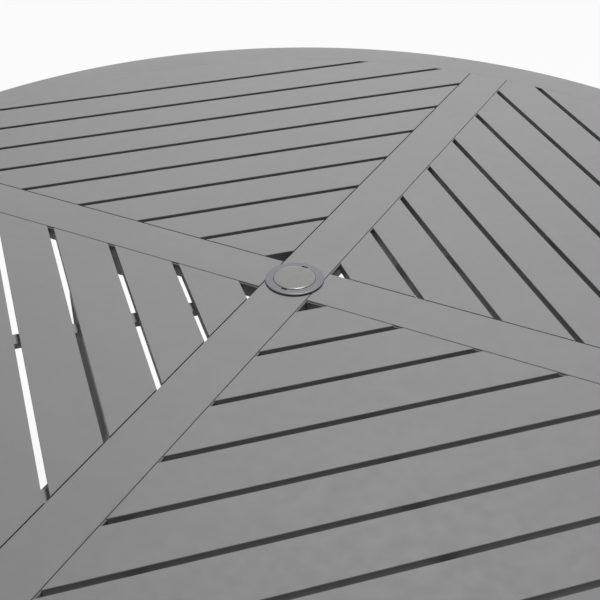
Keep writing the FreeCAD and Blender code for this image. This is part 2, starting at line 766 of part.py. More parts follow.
def make_glide(corner):
    """A foot with a many-sided edge for the fingers, that screws in and out on its stud."""
    name = "glide_" + corner
    foot = upright("Part::Prism", name + "_foot", "0", "GlideHeight", Circumradius="GlideRadius")
    foot.Polygon = GLIDE_SIDES
    stud = upright(
        "Part::Cylinder", name + "_stud", "GlideHeight", "StudLength", Radius="StudRadius"
    )
    glide = doc.addObject("Part::MultiFuse", name)
    glide.Shapes = [foot, stud]
    node(glide, name, CORNERS[corner], FOOT)


# Two bolts hold each leg. They pass through its shoulder and the rail's lower wall
# into a nut plate inside the rail. Smaller screws hold the hub plate.


def make_nut_plate(corner):
    """A bar with two tapped holes, lying in the rail."""
    body = new_body("nut_plate_" + corner)
    sketch = new_sketch(body, "XY_Plane", f"{RAIL_BOTTOM} + RailWall")
    rectangle(
        sketch,
        f"{FIRST_BOLT} - NutPlateEnd",
        f"{SECOND_BOLT} + NutPlateEnd",
        "-NutPlateWidth / 2",
        "NutPlateWidth / 2",
    )
    for distance in (FIRST_BOLT, SECOND_BOLT):
        circle(sketch, distance, "0", "BoltRadius + ThreadFit")
    pad(body, sketch, "NutPlateThickness")
    place(body, CORNERS[corner])
    return body


def make_screw(name, corner, distance, under_head, grip, radius, head_width, head_height):
    """A screw or bolt that points up, with a six-sided head below the face it clamps."""
    shank = upright("Part::Cylinder", name + "_shank", under_head, grip, Radius=radius)
    head = upright("Part::Prism", name + "_head", f"({under_head} - {head_height})", head_height)
    head.Polygon = 6
    head.setExpression("Circumradius", bound(f"{head_width} / sqrt(3)"))
    screw = doc.addObject("Part::MultiFuse", name)
    screw.Shapes = [shank, head]
    place(screw, CORNERS[corner], distance)
    return screw


def make_leg_bolt(corner, row, distance):
    """A bolt up through the leg's shoulder and the rail's lower wall into the nut plate."""
    grip = "LegDepth + RailWall + NutPlateThickness + BoltTail"
    return make_screw(
        f"bolt_{corner}_{row}",
        corner,
        distance,
        SHOULDER_BOTTOM,
        grip,
        "BoltRadius",
        "BoltHeadWidth",
        "BoltHeadHeight",
    )


def make_hub_screw(corner):
    """A screw up through the hub plate into the rail's lower wall."""
    return make_screw(
        "hub_screw_" + corner,
        corner,
        HUB_SCREW,
        HUB_BOTTOM,
        "HubThickness + RailWall + ScrewTail",
        "ScrewRadius",
        "ScrewHeadWidth",
        "ScrewHeadHeight",
    )


def make_fasteners():
    """The bolts and nut plates of the four legs, and the screws of the hub plate."""
    bolts = []
    for corner in CORNERS:
        bolts.append(make_leg_bolt(corner, 1, FIRST_BOLT))
        bolts.append(make_leg_bolt(corner, 2, SECOND_BOLT))
    group("leg_bolts", bolts)
    group("nut_plates", [make_nut_plate(corner) for corner in CORNERS])
    group("hub_screws", [make_hub_screw(corner) for corner in CORNERS])


top_disc = make_disc()
back_sector = make_sector()
make_rim()
make_long_rail(top_disc)
for half_rail_corner in ("back_left", "front_right"):
    make_half_rail(half_rail_corner, top_disc)
make_slats(make_slat_tubes(), make_slat_sector())
make_braces(back_sector)
make_hub_plate()
make_umbrella_ring()
make_ring_nut()
make_hole_cap()
for leg_corner in CORNERS:
    make_leg(leg_corner)
    make_glide(leg_corner)
group("leg_plugs", [make_leg_plug(corner) for corner in CORNERS])
group("leg_end_caps", [make_end_cap(corner) for corner in CORNERS])
make_fasteners()

doc.recompute()

# Nothing is written unless every piece came out sound.
for item in doc.Objects:
    if "Invalid" in item.State or "Error" in item.State:
        raise RuntimeError(f"{item.Label} failed: {item.State}")
for piece in nodes:
    if piece.Shape.isNull() or not piece.Shape.isValid() or not piece.Shape.Solids:
        raise RuntimeError(f"{piece.Label} has no sound shape")

os.makedirs("parts", exist_ok=True)
for piece in nodes:
    piece.Shape.exportStep(f"parts/{piece.Label}.step")
print(f"{len(nodes)} pieces written")
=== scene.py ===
import math

import bmesh
import bpy
import numpy as np
from mathutils import Matrix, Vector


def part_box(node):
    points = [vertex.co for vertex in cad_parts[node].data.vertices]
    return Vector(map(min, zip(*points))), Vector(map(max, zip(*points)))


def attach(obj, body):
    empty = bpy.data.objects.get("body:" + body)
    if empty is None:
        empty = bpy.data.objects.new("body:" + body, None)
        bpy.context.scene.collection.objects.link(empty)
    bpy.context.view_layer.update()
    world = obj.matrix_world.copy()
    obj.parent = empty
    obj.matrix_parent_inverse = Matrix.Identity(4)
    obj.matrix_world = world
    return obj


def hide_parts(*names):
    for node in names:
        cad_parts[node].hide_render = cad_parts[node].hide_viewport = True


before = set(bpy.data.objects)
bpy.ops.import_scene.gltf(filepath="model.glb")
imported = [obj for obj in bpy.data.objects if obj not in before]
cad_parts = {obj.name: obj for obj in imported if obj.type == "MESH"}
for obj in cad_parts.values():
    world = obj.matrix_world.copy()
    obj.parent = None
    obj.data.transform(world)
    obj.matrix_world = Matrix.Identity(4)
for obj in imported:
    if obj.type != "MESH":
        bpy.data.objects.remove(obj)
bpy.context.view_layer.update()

# The slats and the flat bars under them. Each slat is a thin-walled aluminium tube, mitred to the
# rails and trimmed to the rim. The whole top is welded, blasted and then powder coated in one go.

MM = 0.001
TURN = 2 * math.pi
COAT_PALE = "939293"
COAT_DEEP = "919091"


def linear(colour):
    """A hex sRGB colour as linear red, green, blue and alpha: c / 12.92 where c is at most
    0.04045, and otherwise ((c + 0.055) / 1.055) to the power of 2.4."""
    shares = [int(colour[i : i + 2], 16) / 255 for i in (0, 2, 4)]
    return (*(c / 12.92 if c <= 0.04045 else ((c + 0.055) / 1.055) ** 2.4 for c in shares), 1)


def add_node(tree, kind, settings, inputs):
    """A node with its settings; each input is a value, or another node's output to link to."""
    made = tree.nodes.new(kind)
    for attribute, value in settings.items():
        setattr(made, attribute, value)
    for socket, value in inputs.items():
        if isinstance(value, bpy.types.NodeSocket):
            tree.links.new(value, made.inputs[socket])
        else:
            made.inputs[socket].default_value = value
    return made


def new_finish(name):
    """An empty material: its tree, the place on the piece, and the output node."""
    material = bpy.data.materials.new(name)
    material.use_nodes = True
    material.node_tree.nodes.clear()
    place = add_node(material.node_tree, "ShaderNodeTexCoord", {}, {}).outputs["Object"]
    output = add_node(material.node_tree, "ShaderNodeOutputMaterial", {}, {})
    return material, place, output


def surface(material, output, inputs):
    """The material with a principled shader of these inputs joined to its output."""
    tree = material.node_tree
    shader = add_node(tree, "ShaderNodeBsdfPrincipled", {}, inputs)
    tree.links.new(shader.outputs["BSDF"], output.inputs["Surface"])
    return material


def grain(tree, place, size, detail=2.0):
    """Noise whose lumps are about this many millimetres across."""
    inputs = {"Vector": place, "Scale": 1 / (size * MM), "Detail": detail}
    return add_node(tree, "ShaderNodeTexNoise", {}, inputs).outputs["Fac"]


def between(tree, share, low, high):
    """A value that runs from low to high as the noise runs over its middle half."""
    inputs = {"Value": share, "From Min": 0.3, "From Max": 0.7, "To Min": low, "To Max": high}
    return add_node(tree, "ShaderNodeMapRange", {}, inputs).outputs["Result"]


def blend_colours(tree, share, first, second):
    """A colour that runs from the first to the second as the noise runs over its middle half."""
    ramp = add_node(tree, "ShaderNodeValToRGB", {}, {"Fac": share})
    ramp.color_ramp.elements[0].position = 0.3
    ramp.color_ramp.elements[0].color = linear(first)
    ramp.color_ramp.elements[1].position = 0.7
    ramp.color_ramp.elements[1].color = linear(second)
    return ramp.outputs["Color"]


def powder_coat(name, pale, deep):
    """Baked polyester powder: an even satin grey that drifts a little between warm and cool over
    a hand's breadth, with a fine orange peel. The real peel, 1 to 2 mm across and about 10 microns
    high, is just wide enough to show."""
    material, place, output = new_finish(name)
    tree = material.node_tree
    drift = grain(tree, place, 90)
    peel = grain(tree, place, 1.6, detail=1.0)
    bump = {"Strength": 0.5, "Distance": 0.015 * MM, "Height": peel}
    inputs = {
        "Base Color": blend_colours(tree, drift, deep, pale),
        "Roughness": between(tree, grain(tree, place, 14), 0.56, 0.64),
        "IOR": 1.5,
        "Normal": add_node(tree, "ShaderNodeBump", {}, bump).outputs["Normal"],
    }
    return surface(material, output, inputs)


def dress(names, material):
    """The finish of a piece whose solid is shown as it is."""
    for name in names:
        for material_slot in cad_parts[name].material_slots:
            material_slot.material = material


frame_coat = powder_coat("powder_coat_grey", COAT_PALE, COAT_DEEP)
slat_names = [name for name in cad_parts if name.startswith("slat_")]
dress(slat_names + ["side_braces"], frame_coat)

# The welds under the slats: short aluminium beads, laid where each end of a slat meets a rail or
# the rim and where it crosses a bar, coated with the frame. Their ripples are drawn a little
# coarser than the real ones.

SIDES = np.radians([0, 90, 180, 270])
CORNERS = {"back_right": 45, "back_left": 135, "front_left": 225, "front_right": 315}
SLAT_COUNT = len(slat_names) // len(SIDES)
SLAT_PITCH = 70 * MM
SLAT_GAP = 7.5 * MM
SIDE_BRACE = 276 * MM
BRACE_HALF = 10 * MM
SEAM_RADIUS = 700 * MM
RAIL_HALF = 32 * MM
BEAD_LENGTH = 24 * MM
BEAD_RADIUS = 2.2 * MM
BEAD_OFF_RAIL = 0.6
BEAD_OFF_BAR = 0.5
BEAD_SWELL = 0.1
BEAD_RIPPLE = 3 * MM
BEAD_ROWS = 33
BEAD_COLUMNS = 10


def grid_faces(rows, columns, closed):
    """Quads between neighbours on a grid whose columns run round. The last row meets the first
    where it is closed, and otherwise a flat face covers the first row and the last."""
    row = np.arange(rows if closed else rows - 1)[:, None]
    column = np.arange(columns)[None, :]
    below = row * columns
    above = (row + 1) % rows * columns
    following = (column + 1) % columns
    quads = (below + column, below + following, above + following, above + column)
    faces = np.stack(quads, axis=-1).reshape(-1, 4).tolist()
    if not closed:
        last = (rows - 1) * columns
        faces += [list(range(columns)), list(range(last, last + columns))]
    return faces


def make_piece(name, shapes, material, body="table", stands_for=(), sharp=35):
    """One object from grids of points. Each shape is an array of copies, rows and columns of
    points, and whether its rows close on themselves. Edges that turn more than sharp degrees
    stay sharp. It moves with its body and is shown in place of the solids it stands for."""
    points = []
    faces = []
    for shape, closed in shapes:
        shape = shape.reshape(-1, *shape.shape[-3:])
        copies, rows, columns, _ = shape.shape
        start = sum(len(part) for part in points)
        pattern = grid_faces(rows, columns, closed)
        for copy in range(copies):
            offset = start + copy * rows * columns
            faces += [[index + offset for index in face] for face in pattern]
        points.append(shape.reshape(-1, 3))
    mesh = bpy.data.meshes.new(name)
    mesh.from_pydata(np.concatenate(points), [], faces)
    shell = bmesh.new()
    shell.from_mesh(mesh)
    bmesh.ops.recalc_face_normals(shell, faces=shell.faces)
    shell.to_mesh(mesh)
    shell.free()
    mesh.shade_smooth()
    mesh.set_sharp_from_angle(angle=math.radians(sharp))
    mesh.materials.append(material)
    piece = bpy.data.objects.new(name, mesh)
    bpy.context.scene.collection.objects.link(piece)
    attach(piece, body)
    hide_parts(*stands_for)
    return piece


def turned_copies(points, angles):
    """Copies of an array of points, each turned about the table's axis: x cos a - y sin a,
    x sin a + y cos a, and z as it is."""
    angles = np.atleast_1d(angles)
    cos, sin = np.cos(angles), np.sin(angles)
    zero, one = np.zeros_like(angles), np.ones_like(angles)
    turns = np.array([[cos, -sin, zero], [sin, cos, zero], [zero, zero, one]])
    return np.einsum("ijk,...j->k...i", turns, points)


def weld_beads(places, directions):
    """A bead at each place: a rod along its direction, closed at both ends. Its radius is the
    bead's radius times the root of 1 - (2u - 1) to the eighth, where u runs from end to end, and
    swells by a tenth with each ripple."""
    u = np.linspace(0.001, 0.999, BEAD_ROWS)[:, None]
    v = np.linspace(0, TURN, BEAD_COLUMNS, endpoint=False)[None, :]
    ripple = 1 + BEAD_SWELL * np.cos(TURN * u * BEAD_LENGTH / BEAD_RIPPLE)
    radius = BEAD_RADIUS * np.sqrt(1 - (2 * u - 1) ** 8) * ripple
    along = (u - 0.5) * BEAD_LENGTH + 0 * v
    across = radius * np.cos(v)
    height = radius * np.sin(v)
    place_x, place_y, place_z = (places[:, axis, None, None] for axis in range(3))
    step_x, step_y = (directions[:, axis, None, None] for axis in range(2))
    x = place_x + step_x * along - step_y * across
    y = place_y + step_y * along + step_x * across
    z = place_z + height + 0 * x
    return np.stack([x, y, z], axis=-1)


def bead_places():
    """The middle and the direction of each bead of the back field, in the order: ends at the
    rails, ends at the rim, crossings of the bars."""
    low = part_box("slat_back_1")[0].z
    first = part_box("slat_back_1")[0].y
    middles = first + SLAT_PITCH * np.arange(SLAT_COUNT) + (SLAT_PITCH - SLAT_GAP) / 2
    off_rail = BEAD_RADIUS * BEAD_OFF_RAIL
    off_bar = BEAD_RADIUS * BEAD_OFF_BAR
    apex = (RAIL_HALF + off_rail) * math.sqrt(2)
    rail_end = (apex + math.sqrt(2 * SEAM_RADIUS**2 - apex**2)) / 2
    places = []
    directions = []
    for y in middles:
        bars = [(0, 1)] if y > 0 else []
        if SIDE_BRACE + apex < y < math.sqrt(SEAM_RADIUS**2 - SIDE_BRACE**2):
            bars += [(-SIDE_BRACE, 1), (SIDE_BRACE, -1)]
        places += [(x + hand * (BRACE_HALF + off_bar), y, low) for x, hand in bars]
        directions += [(0, 1)] * len(bars)
        for hand in (-1, 1):
            if y < rail_end - BEAD_LENGTH / 2:
                places.append((hand * (y - apex), y, low))
                directions.append((hand * math.sqrt(0.5), math.sqrt(0.5)))
            else:
                radius = SEAM_RADIUS - off_rail
                x = math.sqrt(radius**2 - y**2)
                places.append((hand * x, y, low))
                directions.append((-hand * y / radius, x / radius))
    return np.array(places), np.array(directions)


beads = weld_beads(*bead_places())
make_piece("slat_welds", [(turned_copies(beads, SIDES), False)], frame_coat)

# The rails: extruded aluminium tube with a small ledge along each side, welded into the frame and
# coated with it.

dress([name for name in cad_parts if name.startswith("rail_")], frame_coat)

# The bars down the middle of each field: flat aluminium with its edges broken, which start a little
# inside the first slat and end at the rim.

BAR_START = 70 * MM
BAR_EDGE = 0.6 * MM


def rounded(corners, radii, steps=7):
    """A closed outline with each corner rounded to its radius. An arc starts at radius divided by
    the tangent of half the corner's angle from the corner, and its points swing evenly about its
    centre, which lies on the corner's bisector."""
    corners = np.asarray(corners, float)
    radii = np.broadcast_to(radii, len(corners))[:, None]
    back = np.roll(corners, 1, axis=0) - corners
    ahead = np.roll(corners, -1, axis=0) - corners
    back /= np.linalg.norm(back, axis=1, keepdims=True)
    ahead /= np.linalg.norm(ahead, axis=1, keepdims=True)
    half = np.arccos(np.clip((back * ahead).sum(axis=1, keepdims=True), -1, 1)) / 2
    bisector = (back + ahead) / np.linalg.norm(back + ahead, axis=1, keepdims=True)
    centre = corners + bisector * radii / np.sin(half)
    start = (corners + back * radii / np.tan(half) - centre)[:, None]
    end = (corners + ahead * radii / np.tan(half) - centre)[:, None]
    swing = (math.pi - 2 * half)[:, None]
    share = np.linspace(0, 1, steps)[None, :, None]
    arc = (np.sin((1 - share) * swing) * start + np.sin(share * swing) * end) / np.sin(swing)
    return (centre[:, None] + arc).reshape(-1, 2)


bar_low, bar_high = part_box("middle_braces")
bar_corners = [
    (-BRACE_HALF, bar_low.z),
    (BRACE_HALF, bar_low.z),
    (BRACE_HALF, bar_high.z),
    (-BRACE_HALF, bar_high.z),
]
bar_section = rounded(bar_corners, BAR_EDGE)
bar_rows = [np.insert(bar_section, 1, y, axis=1) for y in (BAR_START, bar_high.y)]
bar_shape = (turned_copies(np.stack(bar_rows), SIDES), False)
make_piece("middle_bars", [bar_shape], frame_coat, stands_for=["middle_braces"])

# The plate under the rails' crossing: a cast aluminium cross with bevelled sides, screwed on from
# below, and coated with the legs, a shade deeper than the top.

LEG_PALE = "8f8e8e"
LEG_DEEP = "8a898a"
HUB_REACH = 165 * MM
HUB_CORNER = 10 * MM
HUB_BEVEL = 10.3 * MM
HUB_HOLE = 28.3 * MM
HUB_STEPS = 12


def cross_outline(half, reach):
    """A cross with broken corners, as points spread evenly along each of its edges. One arm is
    given by its corners, and the others are turned copies of it."""
    tip = half - HUB_CORNER
    side = reach - HUB_CORNER
    arm = [(side, -half, 0), (reach, -tip, 0), (reach, tip, 0), (side, half, 0), (half, half, 0)]
    corners = turned_copies(np.array(arm), SIDES).reshape(-1, 3)[:, :2]
    share = np.linspace(0, 1, HUB_STEPS, endpoint=False)[None, :, None]
    following = np.roll(corners, -1, axis=0)
    return (corners[:, None] * (1 - share) + following[:, None] * share).reshape(-1, 2)


def hub_points():
    """The cross, wide at its top face and drawn in by the bevel at its lower face, round the hole
    for the sleeve, whose points stand in the directions of the outline's."""
    low, high = (corner.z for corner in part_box("hub_plate"))
    wide = cross_outline(RAIL_HALF, HUB_REACH)
    narrow = cross_outline(RAIL_HALF - HUB_BEVEL, HUB_REACH - HUB_BEVEL)
    hole = wide / np.linalg.norm(wide, axis=1, keepdims=True) * HUB_HOLE
    rows = [(hole, high), (wide, high), (narrow, low), (hole, low)]
    cross = np.stack([np.insert(outline, 2, height, axis=1) for outline, height in rows])
    return turned_copies(cross, math.radians(CORNERS["back_right"]))


leg_coat = powder_coat("powder_coat_grey_legs", LEG_PALE, LEG_DEEP)
hub_shape = (hub_points(), True)
make_piece("hub_casting", [hub_shape], leg_coat, stands_for=["hub_plate"])

# The rim: a hollow aluminium section rolled into a ring, with a rounded nose, welded shut and
# ground smooth before it is coated, so that it shows no joint.

RIM_SEGMENTS = 360
RIM_OUTSIDE = 761.7 * MM
RIM_ROUNDINGS = np.array([0.5, 3, 8, 1]) * MM


def lathe(profile, angles):
    """A profile of radii and heights turned about the table's axis: x = r cos a, y = r sin a."""
    radius = profile[:, 0, None]
    height = profile[:, 1, None] + 0 * angles[None, :]
    return np.stack([radius * np.cos(angles), radius * np.sin(angles), height], axis=-1)


rim_low, rim_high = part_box("rim_ring")
rim_corners = [
    (SEAM_RADIUS, rim_low.z),
    (RIM_OUTSIDE, rim_low.z),
    (RIM_OUTSIDE, rim_high.z),
    (SEAM_RADIUS, rim_high.z),
]
rim_profile = rounded(rim_corners, RIM_ROUNDINGS)
round_angles = np.linspace(0, TURN, RIM_SEGMENTS, endpoint=False)
rim_shape = (lathe(rim_profile, round_angles), True)
make_piece("rim", [rim_shape], frame_coat, stands_for=["rim_ring"])

# The umbrella ring: a die-cast aluminium flange and sleeve in silver-grey enamel, on a thin black
# gasket whose black is partly painted shadow under the flange's edge. Two notches take a coin to
# lift the cap. The sleeve's lower end is threaded for the nut.

RING_SEGMENTS = 180
RING_ROUNDINGS = np.array([0.4, 0.8, 0.3, 0.2, 1.4, 0.3, 0.3, 0.4]) * MM
GASKET = 1.5 * MM
RING_COLOUR = "808185"
RING_COLOUR_DEEP = "7a7b80"
POLE_HOLE = 24.5 * MM
SLEEVE_RADIUS = 28 * MM
SEAT_RADIUS = 26.5 * MM
SEAT_DEPTH = 7 * MM
NOTCH_WIDTH = 8 * MM
NOTCH_REACH = 29 * MM
NOTCH_SHELF = 1.4 * MM
NOTCH_DEPTH = 5 * MM
NOTCH_SIDE = 0.25 * MM
THREAD_PITCH = 2 * MM
THREAD_DEPTH = 0.9 * MM
THREAD_ROWS = 8


def silver_enamel(name, pale, deep):
    """Stoved enamel with a little aluminium flake in it: a cool grey, smoother than the powder coat
    beside it, that brightens softly on its rounded edges. The flakes, about 0.1 mm across, are
    drawn at 0.7 mm so that they show."""
    material, place, output = new_finish(name)
    tree = material.node_tree
    flakes = grain(tree, place, 0.7, detail=3.0)
    flow = grain(tree, place, 5, detail=1.0)
    bump = {"Strength": 0.4, "Distance": 0.02 * MM, "Height": flow}
    inputs = {
        "Base Color": blend_colours(tree, flakes, deep, pale),
        "Metallic": 0.25,
        "Roughness": between(tree, flakes, 0.3, 0.36),
        "IOR": 1.5,
        "Normal": add_node(tree, "ShaderNodeBump", {}, bump).outputs["Normal"],
    }
    return surface(material, output, inputs)


def thread_wave(height, angle, pitch):
    """How far a thread is cut in, from 0 at a crest to 1 at a root: a triangle wave of the height
    divided by the pitch, less the share of the turn."""
    turns = height / pitch - angle / TURN
    return np.abs(2 * (turns - np.floor(turns)) - 1)


def notch_angles(segments):
    """Even steps round the ring, with a pair of steps at each side of each notch."""
    half = math.asin(NOTCH_WIDTH / 2 / NOTCH_REACH)
    side = NOTCH_SIDE / NOTCH_REACH
    sides = [n + s for n in (0, math.pi) for s in (-half - side, -half, half, half + side)]
    even = np.linspace(0, TURN, segments, endpoint=False)
    return np.sort(np.concatenate([even, np.mod(sides, TURN)])), half + side / 2


def ring_sections():
    """The ring's outline, with rows up the sleeve at the thread's spacing, and the same outline in
    a notch. The outline is rounded at its eight corners. In a notch, the points round the upper
    edge of the seat go down the notch's outer wall instead, in along a shelf, and down a slope over
    the sleeve."""
    low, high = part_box("umbrella_ring")
    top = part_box("rim_ring")[1].z + GASKET
    shelf = high.z - NOTCH_SHELF
    bottom = high.z - NOTCH_DEPTH
    corners = [
        (POLE_HOLE, low.z),
        (SLEEVE_RADIUS, low.z),
        (SLEEVE_RADIUS, top),
        (high.x, top),
        (high.x, high.z),
        (SEAT_RADIUS, high.z),
        (SEAT_RADIUS, high.z - SEAT_DEPTH),
        (POLE_HOLE, high.z - SEAT_DEPTH),
    ]
    arcs = rounded(corners, RING_ROUNDINGS).reshape(len(corners), -1, 2)
    rows = int((top - low.z) / THREAD_PITCH * THREAD_ROWS)
    heights = np.linspace(low.z, top, rows)[1:-1]
    wall = np.column_stack([np.full(rows - 2, SLEEVE_RADIUS), heights])
    reach = [[NOTCH_REACH, high.z]]
    depth = [[SEAT_RADIUS, bottom]]
    down = np.column_stack([np.full(4, NOTCH_REACH), high.z - NOTCH_SHELF * np.linspace(0.1, 1, 4)])
    inwards = np.linspace(SLEEVE_RADIUS, SEAT_RADIUS, 4)[:-1]
    step = np.concatenate([down, np.column_stack([inwards, np.linspace(shelf, bottom, 4)[:-1]])])
    start = [*arcs[:2], wall, *arcs[2:5], reach]
    plain = np.concatenate([*start, arcs[5], depth, *arcs[6:]])
    notched = np.concatenate([*start, step, depth, *arcs[6:]])
    return plain, notched


def umbrella_ring_points():
    """Each angle's own outline, turned round the table's axis, with the notches on the long rail.
    Below the nut's upper face the sleeve is cut in by the thread's wave."""
    plain, notched = ring_sections()
    angles, half = notch_angles(RING_SEGMENTS)
    near = np.abs(np.mod(angles + math.pi / 2, math.pi) - math.pi / 2)
    section = np.where((near < half)[None, :, None], notched[:, None], plain[:, None])
    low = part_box("umbrella_ring")[0].z
    nut_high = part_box("ring_nut")[1].z
    height = section[..., 1]
    room = np.minimum(height - low - THREAD_PITCH / 2, nut_high - height) / THREAD_PITCH
    threaded = np.isclose(section[..., 0], SLEEVE_RADIUS) * np.clip(room, 0, 1)
    wave = thread_wave(height, angles[None, :], THREAD_PITCH)
    radius = section[..., 0] - THREAD_DEPTH * threaded * wave
    turned = angles + math.radians(CORNERS["back_right"])
    return np.stack([radius * np.cos(turned), radius * np.sin(turned), height], axis=-1)


ring_enamel = silver_enamel("silver_enamel_on_casting", RING_COLOUR, RING_COLOUR_DEEP)
ring_shape = (umbrella_ring_points(), True)
make_piece(
    "umbrella_sleeve", [ring_shape], ring_enamel, stands_for=["umbrella_ring"]
)

# The ring's gasket and nut. The gasket is a flat ring of black rubber, as matt as the mouldings,
# and its near-black colour is partly painted shadow: it darkens the line under the flange's edge
# the way the shade there does. The six-sided nut under the hub plate is moulded in black nylon and
# chamfered on both faces.

# Near-black for the gasket: partly the rubber's own colour, partly painted shadow under the
# flange's edge.
GASKET_BLACK_SHADE_PALE = "1d1d1e"
GASKET_BLACK_SHADE_DEEP = "161617"
NYLON_PALE = "2e2e2f"
NYLON_DEEP = "252526"
GASKET_PLAY = 1 * MM
GASKET_INSET = 0.5 * MM
GASKET_ROUNDING = 0.3 * MM
NUT_FLATS = 70 * MM
NUT_CONE = 1.7
NUT_PLAY = 0.05 * MM
NUT_ROWS = 25


def moulded_plastic(name, pale, deep, roughness, texture):
    """Injection-moulded plastic: an even colour under a thin gloss, with the fine sparked texture
    of its mould, as wide as texture says in millimetres."""
    material, place, output = new_finish(name)
    tree = material.node_tree
    spark = grain(tree, place, texture, detail=3.0)
    bump = {"Strength": 0.4, "Distance": 0.01 * MM, "Height": spark}
    inputs = {
        "Base Color": blend_colours(tree, grain(tree, place, 12), deep, pale),
        "Roughness": between(tree, spark, roughness - 0.03, roughness + 0.03),
        "IOR": 1.53,
        "Normal": add_node(tree, "ShaderNodeBump", {}, bump).outputs["Normal"],
    }
    return surface(material, output, inputs)


def hexagon(angles, flats):
    """The radius of a six-sided outline at each angle: half the flats, divided by the cosine of
    the angle from the middle of the nearest side."""
    sixth = TURN / 6
    return flats / 2 / np.cos(np.mod(angles, sixth) - sixth / 2)


def nut_points():
    """The nut's section turned round: up the flats, and down the hole. The corners are cut by a
    cone at both faces, where the radius is at most half the flats plus 1.7 times the distance from
    the face."""
    low, high = (corner.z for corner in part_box("ring_nut"))
    angles = np.linspace(0, TURN, RING_SEGMENTS, endpoint=False)[None, :]
    height = np.linspace(low, high, NUT_ROWS)[:, None]
    room = np.minimum(height - low, high - height)
    outside = np.minimum(hexagon(angles, NUT_FLATS), NUT_FLATS / 2 + NUT_CONE * room)
    inside = np.full_like(outside, SLEEVE_RADIUS + NUT_PLAY)
    radius = np.concatenate([outside, inside])
    heights = np.concatenate([height, height[::-1]]) + 0 * angles
    return np.stack([radius * np.cos(angles), radius * np.sin(angles), heights], axis=-1)


gasket_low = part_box("rim_ring")[1].z
gasket_inside = SLEEVE_RADIUS + GASKET_PLAY
gasket_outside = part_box("umbrella_ring")[1].x - GASKET_INSET
gasket_corners = [
    (gasket_inside, gasket_low),
    (gasket_outside, gasket_low),
    (gasket_outside, gasket_low + GASKET),
    (gasket_inside, gasket_low + GASKET),
]
ring_angles = np.linspace(0, TURN, RING_SEGMENTS, endpoint=False)
gasket_shape = (lathe(rounded(gasket_corners, GASKET_ROUNDING), ring_angles), True)
# The gasket's finish: black rubber whose near-black also paints the shadow line under the flange.
gasket_rubber_and_shade = moulded_plastic(
    "rubber_black_painted_shadow", GASKET_BLACK_SHADE_PALE, GASKET_BLACK_SHADE_DEEP, roughness=0.6, texture=0.5
)
make_piece("ring_gasket_shadow_line", [gasket_shape], gasket_rubber_and_shade)
black_nylon = moulded_plastic(
    "nylon_black", NYLON_PALE, NYLON_DEEP, roughness=0.45, texture=0.7
)
nut_shape = (nut_points(), True)
make_piece("sleeve_nut", [nut_shape], black_nylon, stands_for=["ring_nut"])

# The cap: a shallow plug of moulded grey plastic, faintly domed, that stands a little proud of the
# ring. Its polished edge catches the light.

CAP_COLOUR = "939391"
CAP_COLOUR_DEEP = "8f8f8d"
CAP_DOME = 0.3 * MM
CAP_EDGE = 4.5 * MM
CAP_EDGE_DROP = 1.2 * MM
CAP_WALL = 2.5 * MM
CAP_LIP = 0.4 * MM
CAP_INSET = 0.05 * MM
CAP_ROWS = 14


def cap_profile():
    """The cap's section from the middle of its top, out over the dome, round the edge, down the
    wall and back under the roof. The dome falls with the square of the radius, and the edge is a
    quarter of an ellipse."""
    low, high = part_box("hole_cap")
    outside = high.x - CAP_INSET
    reach = np.linspace(0.02, 1, CAP_ROWS) * (outside - CAP_EDGE)
    dome = np.stack([reach, high.z - CAP_DOME * (reach / outside) ** 2], axis=-1)
    edge_top = dome[-1, 1]
    swing = np.linspace(0, math.pi / 2, 13)[1:]
    edge_reach = outside - CAP_EDGE * (1 - np.sin(swing))
    edge_height = edge_top - CAP_EDGE_DROP * (1 - np.cos(swing))
    edge = np.stack([edge_reach, edge_height], axis=-1)
    inner = outside - CAP_WALL
    roof = high.z - CAP_WALL
    skirt = [
        (outside, low.z + CAP_LIP),
        (outside - CAP_LIP, low.z),
        (inner + CAP_LIP, low.z),
        (inner, low.z + CAP_LIP),
        (inner, roof - 3 * CAP_LIP),
        (inner - CAP_LIP, roof - CAP_LIP),
        (inner - 3 * CAP_LIP, roof),
        (0.02 * inner, roof),
    ]
    return np.concatenate([dome, edge, np.array(skirt)])


cap_plastic = moulded_plastic(
    "abs_light_grey", CAP_COLOUR, CAP_COLOUR_DEEP, roughness=0.26, texture=0.5
)
make_piece(
    "cap",
    [(lathe(cap_profile(), ring_angles), False)],
    cap_plastic,
    body="cap",
    stands_for=["hole_cap"],
    sharp=50,
)

# The legs: flat aluminium tube with rolled corners, bent at the shoulder and at the knee, cut level
# above the floor and coated apart from the top, a shade deeper.

LEG_WIDTH = 60 * MM
LEG_DEPTH = 30 * MM
LEG_CORNER = 5 * MM
LEAST_CORNER = 1 * MM
LEG_WALL = 2 * MM
LEG_RADIUS = 327 * MM
LEG_SHOULDER = 137 * MM
SHOULDER_BEND = 75 * MM
KNEE_BEND = 120 * MM
KNEE_HEIGHT = 354 * MM
SPLAY = math.radians(52)
LEG_END = 14 * MM
BEND_STEPS = 17


